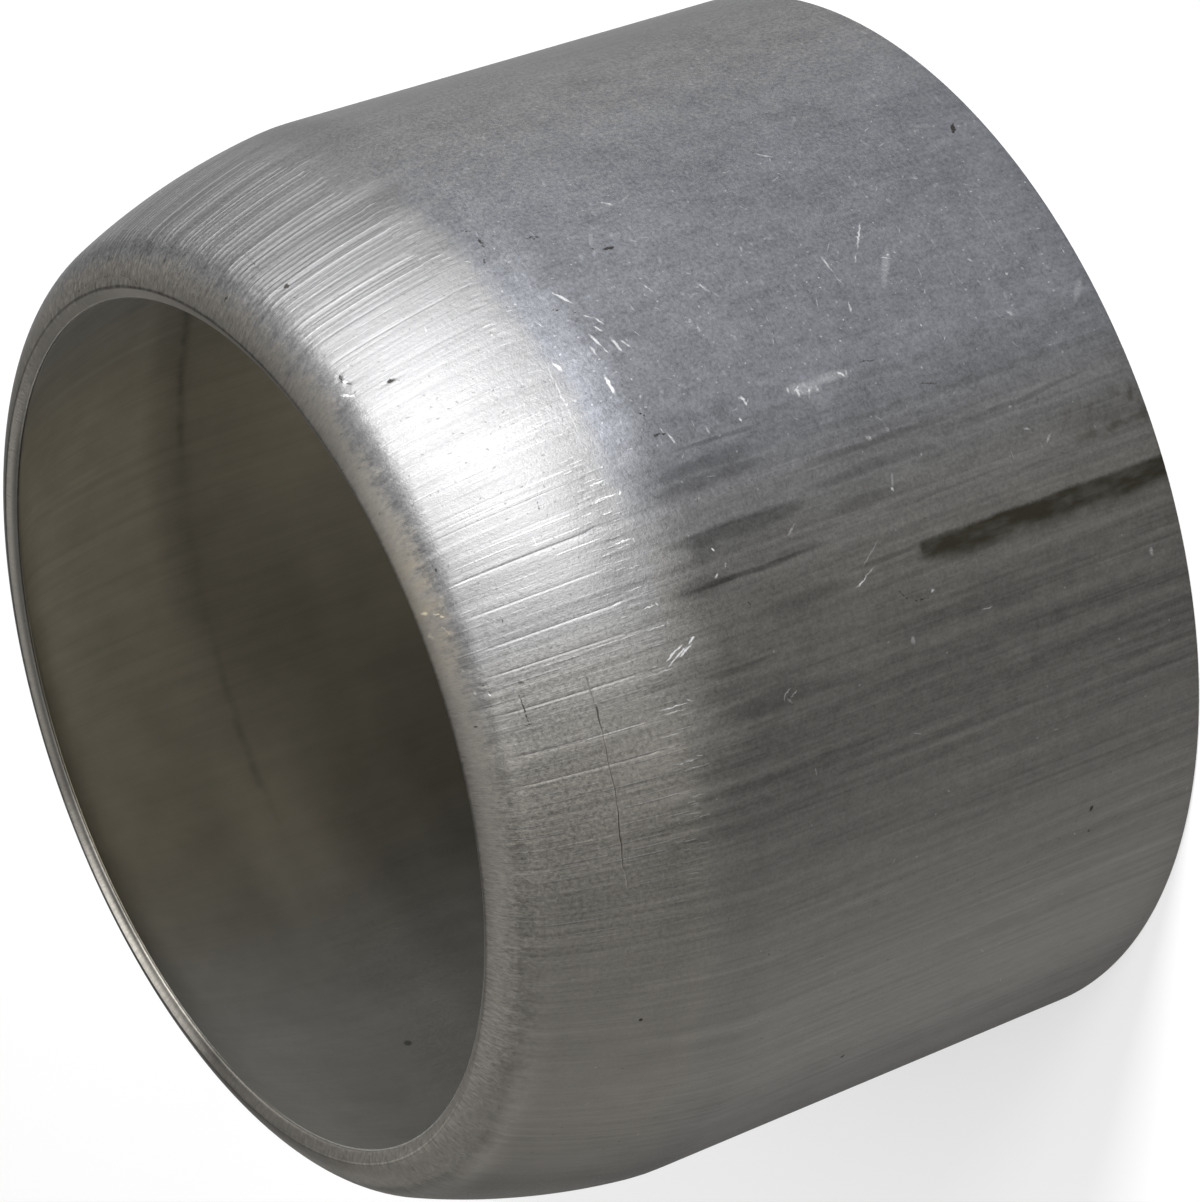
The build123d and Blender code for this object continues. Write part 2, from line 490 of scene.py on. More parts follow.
# Marks on the outside, one by one.
# Each has around, height, half length, half width, lean (degrees from level) and tone.
# A tone above 0 is bared metal, one below 0 is dirt.
marks = {
    "underFlank": [
        (29.8, 28.6, 0.75, 0.09, 30, 1), (26.9, 28, 0.28, 0.07, 55, 0.7),
        (26.1, 27.6, 0.44, 0.07, 25, 0.8), (25.3, 27.9, 0.32, 0.08, 35, 0.9),
        (24.2, 28.4, 0.55, 0.1, 15, 1), (22.9, 28.2, 0.22, 0.07, 15, 0.8),
        (23.3, 28.8, 0.34, 0.08, 0, 0.8), (23.1, 27.5, 0.56, 0.12, 10, 1),
        (22.9, 27, 0.36, 0.08, 30, 0.8), (23.1, 30.9, 0.42, 0.09, 20, 0.9), (19.4, 29, 0.65, 0.12, 0, 1),
        (20, 31.5, 2.9, 0.05, -4, 0.35), (12.3, 27.3, 0.48, 0.06, 15, 0.7),
        (13.4, 27.6, 0.21, 0.07, 5, 0.7), (12, 25.2, 0.26, 0.08, 0, 0.7),
        (11.9, 23.2, 0.16, 0.08, -5, 0.8), (1, 27.6, 0.14, 0.08, 20, 0.8),
        (-0.7, 27.2, 0.16, 0.07, -35, 0.5), (-1.4, 27.9, 0.21, 0.09, -60, 0.7)],
    "fan": [
        (-7.2, 31.42, 0.46, 0.075, -58, 1), (-7.3, 31, 0.58, 0.075, -62, 1),
        (-7.2, 30.66, 0.54, 0.075, -59, 1), (-6.7, 30.98, 0.34, 0.06, -68, 0.9),
        (-6.4, 30.22, 0.28, 0.085, -57, 1), (-7.9, 31.55, 0.3, 0.055, -58, 0.8)],
    "body": [
        (39.2, 22.7, 0.41, 0.1, 50, 0.7), (39.1, 21.7, 0.65, 0.09, -70, 0.35),
        (35.4, 25, 0.67, 0.14, -30, 0.35), (27.7, 24, 0.37, 0.07, 25, 0.5),
        (26.4, 25.5, 0.24, 0.08, 0, 0.6), (26.1, 21.2, 0.5, 0.09, 25, 0.6),
        (24.9, 20.8, 0.29, 0.08, 35, 0.4), (28.9, 17.9, 0.25, 0.08, -15, 0.5),
        (23.1, 23, 0.16, 0.1, -5, 0.6), (22, 22.8, 0.28, 0.1, -20, 0.6), (24.3, 14, 0.63, 0.07, 5, 0.7),
        (22.3, 13.9, 0.42, 0.06, 10, 0.5), (19.2, 14.2, 0.41, 0.08, -20, 0.7),
        (26.3, 11.3, 1.1, 0.07, -38, 0.8), (23.9, 12.3, 0.31, 0.06, -35, 0.7),
        (22.1, 11, 1.45, 0.26, -36, 0.36), (39.2, 12.8, 0.58, 0.08, 47, 0.7),
        (55.8, 20.9, 0.7, 0.15, 87, 0.25), (12.9, 19.1, 1.15, 0.4, 78, 0.42),
        (13.1, 17.3, 1.3, 0.34, 88, 0.36), (12.6, 19.45, 0.3, 0.12, -10, 0.44),
        (12.2, 18.85, 0.32, 0.1, -22, 0.46), (12.4, 18.3, 0.26, 0.1, -10, 0.4),
        (13.2, 19.9, 0.26, 0.1, -15, 0.4), (12.8, 16.35, 0.34, 0.12, -16, 0.38),
        (13.6, 22.5, 0.34, 0.08, 10, 0.8), (13.9, 22.6, 0.24, 0.07, 60, 0.7),
        (13.3, 22.4, 0.22, 0.06, -40, 0.6), (13, 16.6, 0.3, 0.08, 40, 0.6)],
    "lower": [
        (13.5, 1.1, 0.9, 0.25, -43, 0.35), (36.7, 3.4, 0.8, 0.2, 63, 0.22),
        (48.7, 1.8, 0.5, 0.2, 60, 0.22), (13.4, 5.6, 0.28, 0.13, 50, 0.5), (23.5, 4, 3.1, 0.05, 0, 0.22),
        (22, 7.6, 2.4, 0.05, 0, 0.16), (20, 6.2, 0.16, 0.09, 40, 0.6), (17.6, 6.4, 0.14, 0.08, 0, 0.6),
        (17.4, 4.6, 0.12, 0.08, 70, 0.7), (2, 7.6, 0.26, 0.07, 70, 0.6),
        (0.4, 6.5, 0.34, 0.09, -50, 0.4), (4.6, 8, 0.16, 0.08, 80, 0.5)],
    "soilAndShadeDarkening": [
        (6.2, 16.7, 0.24, 0.16, 60, 0.4), (6.4, 15.5, 0.16, 0.15, 5, 0.4),
        (1.7, 16.3, 0.42, 0.11, -20, 0.35), (0.8, 16.5, 0.16, 0.08, 15, 0.6),
        (0.4, 22.9, 0.48, 0.06, -57, 0.4), (-6.3, 19.6, 0.79, 0.05, -60, 0.5),
        (-4.4, 19, 0.98, 0.04, -54, 0.35), (-6.8, 20.1, 0.35, 0.06, -73, 0.6),
        (-9.8, 16, 0.17, 0.08, -63, 0.7), (-14.2, 25.75, 0.34, 0.05, -60, 0.4),
        (-14.6, 25.95, 0.26, 0.05, -20, 0.34), (-15.1, 25.7, 0.22, 0.06, 35, 0.4),
        (-14.6, 25.4, 0.3, 0.07, -60, 0.4), (-13.7, 17.8, 0.24, 0.16, 0, 0.4),
        (-13.3, 13, 0.4, 0.05, 88, 0.5), (-13.7, 2.2, 0.28, 0.15, 0, 0.5)],
    "hooks": [
        (10.8, 31.95, 0.62, 0.036, 89, 0.63), (9.2, 31.85, 0.85, 0.041, 90, 0.68),
        (9.1, 31.05, 0.14, 0.045, -20, 0.6), (7.4, 31.6, 0.42, 0.036, 90, 0.51),
        (4.7, 31.95, 0.62, 0.038, 88, 0.68), (4.2, 31.9, 0.55, 0.036, 90, 0.6),
        (4.4, 31.35, 0.13, 0.045, 10, 0.54), (2, 31.75, 0.42, 0.036, 90, 0.51),
        (0, 32.25, 0.55, 0.036, 90, 0.63), (-2.1, 31.75, 0.45, 0.041, 88, 0.68),
        (-2.1, 31.35, 0.12, 0.045, 15, 0.54), (-4.2, 31.85, 0.78, 0.038, 90, 0.68),
        (-4.1, 31.1, 0.13, 0.045, 20, 0.54), (-8.4, 32.1, 0.85, 0.036, 90, 0.63),
        (-12, 31.9, 0.95, 0.041, 90, 0.75), (-12.5, 31.8, 0.6, 0.036, 90, 0.63),
        (-11.8, 31.1, 0.24, 0.036, 62, 0.65), (-14.6, 32.4, 0.6, 0.036, 90, 0.6),
        (-17.6, 31.9, 0.8, 0.043, 93, 0.63), (-17.3, 31.2, 0.24, 0.036, 66, 0.49),
        (-18.4, 31.6, 1.2, 0.036, 90, 0.45), (-21.2, 31.6, 0.45, 0.036, 90, 0.42),
        (-23.4, 31.5, 0.52, 0.036, 90, 0.45), (-26.2, 31.6, 0.55, 0.036, 90, 0.42)],
    "nose": [
        (5.2, 41.24, 0.2, 0.09, 24, 1), (4.6, 40.93, 0.17, 0.06, 28, 0.85),
        (4.15, 40.8, 0.14, 0.06, 28, 0.85), (2.6, 41.3, 0.26, 0.06, 4, 0.6),
        (2.5, 40.85, 0.4, 0.04, 15, 0.5), (-2.2, 40.74, 0.15, 0.05, 18, 0.45),
        (-5, 40.6, 0.12, 0.06, 15, 0.7), (-5.4, 40.08, 0.24, 0.05, 14, 0.8),
        (-8.5, 40.89, 0.12, 0.06, 58, -0.4)],
    "dirt": [
        (33.7, 24.5, 0.47, 0.15, 87, -0.8), (34.4, 25.3, 0.23, 0.1, 20, -0.5),
        (-9.3, 17.7, 0.49, 0.06, 37, -0.5), (-10.2, 16.8, 0.6, 0.06, 87, -0.5),
        (-4.9, 26.6, 0.28, 0.07, 33, -0.4), (13.1, 28.1, 0.24, 0.08, 78, -0.6),
        (15.5, 28.2, 0.42, 0.06, 50, -0.5), (13.1, 27.8, 0.5, 0.06, 74, -0.5),
        (9.3, 12, 0.68, 0.05, 73, -0.5), (13.4, 14.8, 0.6, 0.06, 82, -0.5),
        (37.8, 27.8, 0.55, 0.14, 80, -0.5), (35.2, 1.9, 0.48, 0.17, -35, -0.9),
        (39.7, 30.2, 0.5, 0.1, -5, -0.6), (41.9, 30.4, 0.34, 0.09, 40, -0.5),
        (37.5, 30.7, 0.45, 0.09, -36, -0.5), (28.9, 29.4, 0.55, 0.12, 60, -0.3),
        (27.6, 28.4, 0.6, 0.1, 70, -0.3)],
    "arc": [
        (88.2, 41.34, 2.2, 0.026, 2, -0.48), (81.2, 41.28, 1.7, 0.024, 0, -0.48),
        (76.3, 41.32, 1.1, 0.024, -3, -0.48), (73.6, 41.42, 0.5, 0.026, -9, -0.45)],
    "dots": [
        (-45.8, 34.8, 0.14, 0.12, 0, -0.9), (-38.8, 7.2, 0.24, 0.13, -35, -0.9),
        (-41.6, 7.2, 0.14, 0.09, 20, -0.6), (-63.8, 20.5, 0.22, 0.11, -30, -0.8),
        (-12.3, 34.9, 0.13, 0.12, 0, -0.35), (-41, 28, 0.08, 0.06, 0, -0.6)],
    "flank": [
        (-8, 38.9, 1.1, 0.05, 3, -0.7), (-5.2, 38.7, 0.22, 0.16, 20, -0.5),
        (-9.6, 38.9, 0.28, 0.06, 85, -0.6), (47.9, 38.95, 0.24, 0.18, 10, -0.9),
        (29.9, 38.2, 0.18, 0.12, 30, -0.7), (45.9, 39.1, 0.1, 0.08, 0, -0.7),
        (54, 39.1, 1.9, 0.06, -7, -0.35), (33.4, 39.9, 0.42, 0.08, -10, -0.5),
        (31.2, 40.1, 0.45, 0.08, 35, 0.8), (32.6, 39.8, 0.3, 0.07, 30, 0.6),
        (11, 35, 0.45, 0.05, -15, -0.35), (9.6, 34.8, 0.2, 0.05, -20, -0.35),
        (1.4, 38.6, 0.45, 0.05, 0, -0.4), (17.4, 33.6, 0.32, 0.07, -60, -0.3),
        (9, 40.4, 0.4, 0.07, 10, -0.4), (53.8, 40.9, 0.14, 0.08, 60, -0.9),
        (60, 41.1, 0.12, 0.06, 20, -0.5)],
}

# Soft dark streaks below the rolled end: around, height, half length, half width, lean and strength
soot = {
    "upper": [
        (11, 24.9, 2.8, 0.2, 90, 0.36), (9, 26, 4.2, 0.42, 90, 0.34), (7.6, 26.4, 3.8, 0.36, 90, 0.36),
        (2.3, 25.6, 4.6, 0.5, 90, 0.46), (1, 28, 1.2, 0.62, 90, 0.3), (-2, 28.8, 1.9, 0.6, 90, 0.34),
        (-2.1, 25.8, 4.6, 0.2, 91, 0.44), (-10.4, 28.2, 2.8, 0.2, 90, 0.34),
        (-6.4, 23.4, 3.2, 0.6, 90, 0.26), (-14.4, 26.8, 3, 0.65, 90, 0.28)],
    "lower": [
        (5.7, 16.5, 5.6, 0.22, 90, 0.34), (3.6, 17.6, 4.6, 0.34, 90, 0.3),
        (0.7, 18.2, 2.4, 0.42, 90, 0.28), (-0.8, 14, 4.8, 0.16, 90, 0.22), (5, 7.4, 5, 0.18, 93, 0.26),
        (-5.2, 18, 2.8, 0.2, 90, 0.3), (-1.7, 23.2, 1.6, 0.3, 90, 0.24), (-12.5, 12, 6, 0.65, 90, 0.14)],
}
slots = {"mark": 5, "soot": 2}  # how many of each a face can carry


def markLines(mark):
    # two lines; x, y, 1 times each is the distance along or across the mark, in half lengths or half widths
    around, height, length, width, lean, tone = mark
    x, y = around * degreeArc, height
    c, s = math.cos(math.radians(lean)), math.sin(math.radians(lean))
    along = (c / length, s / length, -(x * c + y * s) / length)
    across = (-s / width, c / width, (x * s - y * c) / width)
    return along, across


def carryMarks(mesh, maps, kind, groups):
    # gives every face the lines of the marks that cross it
    corners = np.array([(min(a), max(a), min(b), max(b)) for a, b in (zip(*face) for face in maps)])
    outside = corners[:, 3] <= landmarks["lipStart"] + 1e-6
    left, right = corners[:, 0] * degreeArc, corners[:, 1] * degreeArc
    low, high = pointAt(corners[:, 2])[1], pointAt(corners[:, 3])[1]
    middleX, middleY = (left + right) / 2, (low + high) / 2
    reach = np.hypot(right - left, high - low) / 2
    far = np.tile((0.0, 0.0, 2.0), (len(maps), 1))
    carried = [{"along": far.copy(), "across": far.copy(), "tone": np.zeros(len(maps))}
               for _ in range(slots[kind])]
    spare = 0.12  # the outlines wander by up to this
    for mark in (one for group in groups.values() for one in group):
        around, height, length, width, lean, tone = mark
        c, s = abs(math.cos(math.radians(lean))), abs(math.sin(math.radians(lean)))
        reachX, reachY = length * c + width * s + spare, length * s + width * c + spare
        x = around * degreeArc
        crossed = outside & (right > x - reachX) & (left < x + reachX)
        crossed &= (high > height - reachY) & (low < height + reachY)
        along, across = markLines(mark)
        offAlong, offAcross = (abs(middleX * a + middleY * b + c) for a, b, c in (along, across))
        crossed &= (offAlong < 1 + (reach + spare) / length) & (offAcross < 1 + (reach + spare) / width)
        for slot in carried:
            if not slot["tone"][crossed].any():
                break
        else:
            print("no room for the", kind, "at", around, height)
            continue
        slot["along"][crossed], slot["across"][crossed] = along, across
        slot["tone"][crossed] = tone
    for number, slot in enumerate(carried):
        for name in ("along", "across"):
            layer = mesh.attributes.new(f"{kind}{name.title()}{number}", "FLOAT_VECTOR", "FACE")
            layer.data.foreach_set("vector", slot[name].astype(np.float32).ravel())
        layer = mesh.attributes.new(f"{kind}Tone{number}", "FLOAT", "FACE")
        layer.data.foreach_set("value", slot["tone"].astype(np.float32))


sleeve = buildSleeve()


def addNode(tree, kind, inputs=None, **settings):
    # a node with its settings; an input may be a number, a colour or another node's socket
    node = tree.nodes.new("ShaderNode" + kind)
    for name, value in settings.items():
        setattr(node, name, value)
    for name, value in (inputs or {}).items():
        if isinstance(value, bpy.types.NodeSocket):
            tree.links.new(value, node.inputs[name])
        else:
            node.inputs[name].default_value = value
    return node


def made(kind, inputs, output=0, **settings):
    # one output of a new node, in the tree that its inputs come from
    tree = next(value.id_data for value in inputs.values() if isinstance(value, bpy.types.NodeSocket))
    return addNode(tree, kind, inputs, **settings).outputs[output]


def connect(sockets, inputs):
    for name, socket in sockets.items():
        socket.id_data.links.new(socket, inputs[name])


def maths(operation, *values):
    return made("Math", dict(enumerate(values)), operation=operation)


def times(first, second):
    return maths("MULTIPLY", first, second)


def timesPlus(first, second, third):
    return maths("MULTIPLY_ADD", first, second, third)


def plus(first, second):
    return maths("ADD", first, second)


def minus(first, second):
    return maths("SUBTRACT", first, second)


def over(first, second):
    return maths("DIVIDE", first, second)


def larger(first, second):
    return maths("MAXIMUM", first, second)


def vectors(operation, first, second):
    return made("VectorMath", {0: first, 1: second}, operation=operation)


def joined(x, y, z=0.0):
    return made("CombineXYZ", {0: x, 1: y, 2: z})


def clamped(value):
    return made("Clamp", {0: value})


def fade(value, low, high, start=0.0, end=1.0, shape="SMOOTHSTEP"):
    # goes from start to end as the value goes from low to high
    ends = {"Value": value, "From Min": low, "From Max": high, "To Min": start, "To Max": end}
    return made("MapRange", ends, interpolation_type=shape)


def band(value, low, high, soft):
    # 1 between low and high, 0 outside
    return times(fade(value, low - soft, low + soft), fade(value, high - soft, high + soft, 1, 0))


def shades(height, around, places):
    # broad soft shades, each with its band of heights, its band of degrees and its strength
    total = 0.0
    for low, high, soft, start, end, ease, strength in places:
        both = times(band(height, low, high, soft), band(around, start, end, ease))
        total = timesPlus(both, strength, total)
    return total


def toneCurve(value, stops):
    # a smooth curve through stops of value and share
    low, high = stops[0][0], stops[-1][0]
    tree = value.id_data
    ramp = addNode(tree, "ValToRGB", {0: fade(value, low, high, shape="LINEAR")})
    elements = ramp.color_ramp.elements
    while len(elements) < len(stops):
        elements.new(0.5)
    for element, (place, share) in zip(elements, stops):
        element.position = (place - low) / (high - low)
        element.color = (share, share, share, 1)
    ramp.color_ramp.interpolation = "EASE"
    return ramp.outputs[0]


def mixTone(factor, first, second):
    return made("Mix", {0: factor, 6: first, 7: second}, 2, data_type="RGBA")


def shaded(colour, level):
    # the colour, lighter or darker by a level
    if isinstance(colour, tuple):
        colour = colour[:3]
    return made("VectorMath", {0: colour, "Scale": level}, operation="SCALE")


def noise(vector, scales, detail, roughness, dimensions="2D"):
    # noise about 0, with its scales in features per millimetre
    place = vectors("MULTIPLY", vector, scales)
    inputs = {"Vector": place, "Scale": 1.0, "Detail": detail, "Roughness": roughness}
    return minus(made("TexNoise", inputs, noise_dimensions=dimensions), 0.5)


def cellPlaces(flat, rate):
    # three random numbers for the cell that a point is in, and its place from the cell's centre
    spread = vectors("MULTIPLY", flat, rate)
    cells = addNode(flat.id_data, "TexVoronoi", {"Vector": spread, "Scale": 1.0}, voronoi_dimensions="2D")
    off = vectors("DIVIDE", vectors("SUBTRACT", spread, cells.outputs["Position"]), rate)
    place = addNode(flat.id_data, "SeparateXYZ", {0: off}).outputs
    return *addNode(flat.id_data, "SeparateColor", {0: cells.outputs["Color"]}).outputs, place[0], place[1]


def newGroup(name, inputs, outputs):
    group = bpy.data.node_groups.new(name, "ShaderNodeTree")
    for title, kind, value in inputs:
        socket = group.interface.new_socket(title, in_out="INPUT", socket_type="NodeSocket" + kind)
        if value is not None:
            socket.default_value = value
    for title, kind in outputs:
        group.interface.new_socket(title, in_out="OUTPUT", socket_type="NodeSocket" + kind)
    return group, group.nodes.new("NodeGroupInput").outputs, group.nodes.new("NodeGroupOutput").inputs


def tubePlaceGroup():
    # where a point lies on the tube: degrees from the front, millimetres up and out, and both unrolled flat
    outputs = [("Around", "Float"), ("Height", "Float"), ("Radius", "Float"), ("Millimetres", "Vector"),
               ("Unrolled", "Vector")]
    tree, _, out = newGroup("tubePlace", [], outputs)
    spot = shaded(addNode(tree, "TexCoord").outputs["Object"], 1 / mm)
    x, y, height = addNode(tree, "SeparateXYZ", {0: spot}).outputs
    around = maths("DEGREES", maths("ARCTAN2", x, times(y, -1.0)))
    radius = maths("SQRT", timesPlus(x, x, times(y, y)))
    flat = joined(times(around, degreeArc), height, 1.0)
    connect({"Around": around, "Height": height, "Radius": radius}, out)
    connect({"Millimetres": spot, "Unrolled": flat}, out)
    return tree


def metalGrainGroup():
    # what drawing and handling leave all over: fine grain, lines along the tube, and soft patches
    inputs = [("Millimetres", "Vector", None), ("Unrolled", "Vector", None), ("Grain", "Float", 4.5),
              ("Lines", "Float", 2.6), ("Length", "Float", 18.0)]
    outputs = [("Grain", "Float"), ("Lines", "Float"), ("Patches", "Float")]
    tree, given, out = newGroup("metalGrain", inputs, outputs)
    flat = given["Unrolled"]
    connect({"Grain": noise(flat, joined(given["Grain"], given["Grain"]), 2.0, 0.8),
             "Lines": noise(flat, joined(given["Lines"], over(1.0, given["Length"])), 3.0, 0.76),
             "Patches": noise(given["Millimetres"], (0.45, 0.45, 0.3), 2.0, 0.65, "3D")}, out)
    return tree


def scatteredGroup():
    # short scratches strewn at random, one to a cell at most
    inputs = [("Unrolled", "Vector", None), ("Cells", "Float", 1.0), ("Half Length", "Float", 0.2),
              ("Half Width", "Float", 0.04), ("Share", "Float", 0.2), ("Turn", "Float", math.pi)]
    tree, given, out = newGroup("scatteredScratches", inputs, [("Mask", "Float")])
    red, green, blue, x, y = cellPlaces(given["Unrolled"], joined(given["Cells"], given["Cells"]))
    turn = times(minus(blue, 0.5), given["Turn"])
    c, s = maths("COSINE", turn), maths("SINE", turn)
    along = over(timesPlus(x, c, times(y, s)), given["Half Length"])
    across = over(minus(times(y, c), times(x, s)), given["Half Width"])
    along = over(along, timesPlus(green, 0.7, 0.3))  # some are shorter than others
    far = timesPlus(along, along, times(across, across))
    shape = clamped(timesPlus(far, -1.5, 1.5))
    connect({"Mask": times(shape, maths("LESS_THAN", red, given["Share"]))}, out)
    return tree


def placedMarksGroup(kind, wobbleScale, wobbleReach, soft=False):
    # the marks that each face carries, drawn at full sharpness
    tree, given, out = newGroup(kind + "Places", [("Unrolled", "Vector", None)],
                                [("Bared", "Float"), ("Dirty", "Float")])
    flat = given["Unrolled"]
    place = vectors("MULTIPLY", flat, wobbleScale)
    wobble = made("TexNoise", {"Vector": place, "Scale": 1.0, "Detail": 1.5}, 1, noise_dimensions="2D")
    wobble = vectors("MULTIPLY", vectors("SUBTRACT", wobble, (0.5, 0.5, 0.5)), wobbleReach)
    shaken = vectors("ADD", wobble, flat)
    total = 0.0
    for number in range(slots[kind]):
        carried = [addNode(tree, "Attribute", attribute_name=f"{kind}{name}{number}").outputs
                   for name in ("Along", "Across", "Tone")]
        along, across = (made("VectorMath", {0: shaken, 1: line["Vector"]}, "Value", operation="DOT_PRODUCT")
                         for line in carried[:2])
        far = timesPlus(along, along, times(across, across))
        shape = fade(far, 1.35, 0.0) if soft else clamped(timesPlus(far, -1.2, 1.2))
        total = timesPlus(shape, carried[2]["Fac"], total)
    connect({"Bared": clamped(total), "Dirty": clamped(times(total, -1.0))}, out)
    return tree


def drawnLinesGroup():
    # fine burnished lines along the tube, each with its own length, and the shade beside them
    inputs = [("Unrolled", "Vector", None), ("Across", "Float", 2.2), ("Along", "Float", 0.28),
              ("Half Width", "Float", 0.04), ("Share", "Float", 0.6)]
    tree, given, out = newGroup("drawnLines", inputs, [("Bright", "Float"), ("Shade", "Float")])
    red, green, blue, x, y = cellPlaces(given["Unrolled"], joined(given["Across"], given["Along"]))
    across = over(x, given["Half Width"])
    half = over(timesPlus(green, 0.45, 0.15), given["Along"])
    ends = over(maths("ABSOLUTE", y), half)
    present = times(maths("LESS_THAN", red, given["Share"]), fade(ends, 1.0, 0.8))
    present = times(present, timesPlus(blue, 0.7, 0.3))
    for name, shift in (("Bright", 0.0), ("Shade", 1.7)):
        off = plus(across, shift)
        connect({name: times(clamped(timesPlus(times(off, off), -1.0, 1.0)), present)}, out)
    return tree


tubePlace = tubePlaceGroup()
metalGrain = metalGrainGroup()
scattered = scatteredGroup()
placedMarks = placedMarksGroup("mark", (3.6, 3.6, 0.0), (0.14, 0.14, 0.0))
placedSoot = placedMarksGroup("soot", (1.3, 0.22, 0.0), (0.5, 2.0, 0.0), True)
drawnLines = drawnLinesGroup()


def metalShader(name, look):
    material = bpy.data.materials.new(name)
    material.use_nodes = True
    shader = material.node_tree.nodes["Principled BSDF"].inputs
    shader["Metallic"].default_value = 1
    shader["Anisotropic"].default_value = look["spread"]
    shader["Specular Tint"].default_value = look["edgeTone"]
    tangent = addNode(material.node_tree, "Tangent", direction_type="RADIAL", axis="Z")
    connect({"Tangent": tangent.outputs[0]}, shader)
    return material


def surfacePlace(tree, rates=None, flatGrain=True):
    # what every finish is worked out from: the place, and the metal's grain, lines and patches there
    here = SimpleNamespace(tree=tree)
    place = addNode(tree, "Group", node_tree=tubePlace).outputs
    here.around, here.height, here.radius, here.spot, here.flat = place
    inputs = {"Millimetres": here.spot, "Unrolled": here.flat if flatGrain else here.spot, **(rates or {})}
    here.grain, here.lines, here.patches = addNode(tree, "Group", inputs, node_tree=metalGrain).outputs
    here.behind = maths("MODULO", plus(here.around, 360.0), 360.0)  # degrees from the front, 0 to 360
    return here


def finished(material, colour, rough, relief):
    # the relief is in millimetres
    normal = made("Bump", {"Height": relief, "Strength": 1.0, "Distance": mm})
    shader = material.node_tree.nodes["Principled BSDF"].inputs
    connect({"Base Color": colour, "Roughness": rough, "Normal": normal}, shader)
    return material


outsideLook = {
    "cool": (0.170, 0.175, 0.191, 1),
    "plain": (0.174, 0.174, 0.176, 1),
    "warm": (0.176, 0.171, 0.160, 1),
    "brown": (0.182, 0.171, 0.150, 1),
    "nose": (0.250, 0.237, 0.214, 1),
    "gilt": (0.40, 0.33, 0.22, 1),
    "freshGilt": (0.72, 0.60, 0.34, 1),
    "bare": (0.58, 0.585, 0.59, 1),
    "burnished": (0.42, 0.42, 0.42, 1),
    "grime": (0.028, 0.026, 0.022, 1),
    "streak": (0.024, 0.022, 0.015, 1),
    "roughness": 0.50,
    "spread": 0.5,
    "edgeTone": (0.62, 0.62, 0.62, 1),
    # painted light and shade by degrees from the front, with shares: the first curve darkens a band that also
    # carries dirt streaks, the second lightens and darkens the sides
    "soilAndShade": [
        (-84, 0.7), (-70, 0.8), (-60, 0.89), (-50, 0.82), (-40, 0.68), (-30, 0.52), (-20, 0.42),
        (-10, 0.49), (0, 0.58), (8, 0.68), (16, 0.9), (26, 0.98), (36, 1)],
    # painted light and shade round the sides
    "sideLightAndShade": [
        (-96, 0.52), (-80, 0.6), (-70, 0.92), (-58, 1.06), (-36, 1), (36, 1), (48, 1.04), (62, 1.01),
        (74, 0.9), (110, 0.88)],
    # painted light and shade on the nose ring and the end face, by degrees all the way round, with a painted
    # highlight on the end face from about 186 to 216 degrees
    "noseLight": [
        (0, 1.08), (10, 1.28), (20, 1.24), (28, 1), (50, 0.86), (70, 0.84), (84, 0.74), (112, 0.8),
        (172, 0.8), (180, 1.05), (187, 1.15), (194, 0.6), (202, 0.35), (209, 0.5), (217, 0.85),
        (232, 0.85), (250, 1.3), (264, 1.7), (280, 1.6), (290, 1.42), (300, 1.22), (310, 1.15), (320, 1),
        (340, 0.85), (352, 0.92), (360, 1.08)],
    "lipLight": [
        (0, 1.35), (46, 1.35), (60, 1.7), (74, 2.1), (90, 1.5), (109, 1.05), (125, 1.22), (140, 1.22),
        (152, 1.08), (172, 1.05), (179, 0.95), (186, 1.6), (191, 2.6), (196, 3.5), (203, 3.9),
        (209, 3.2), (216, 2.4), (226, 0.75), (238, 0.8), (280, 0.95), (322, 1.3), (360, 1.35)],
    # broad soft shades: height from, to and softness, degrees from, to and softness, share taken away
    "shades": [
        (22.4, 27.4, 1.4, -28, 14, 7, 0.044), (28.4, 31.4, 1.2, -400, 400, 1, 0.0275),
        (28.4, 31.4, 1.2, 33, 400, 13, 0.1045), (-9, 20.5, 3.5, 14, 46, 8, 0.11),
        (32, 33.8, 0.8, -2, 14, 5, 0.11), (32.5, 39.5, 1, -56, -26, 8, 0.11),
        (29.6, 31.6, 0.9, 37, 53, 6, 0.121)],
    # marks strewn at random: cells per millimetre, half length, half width
    "strewn": {"flecks": (1.25, 0.36, 0.11), "specks": (1.9, 0.11, 0.06), "nicks": (0.75, 0.36, 0.035),
               "dull": (1.3, 0.14, 0.05)},
}


def strewn(here, name, share, turn=math.pi):
    cells, length, width = outsideLook["strewn"][name]
    inputs = {"Unrolled": here.flat, "Cells": cells, "Half Length": length, "Half Width": width,
              "Share": share, "Turn": turn}
    return addNode(here.tree, "Group", inputs, node_tree=scattered).outputs[0]


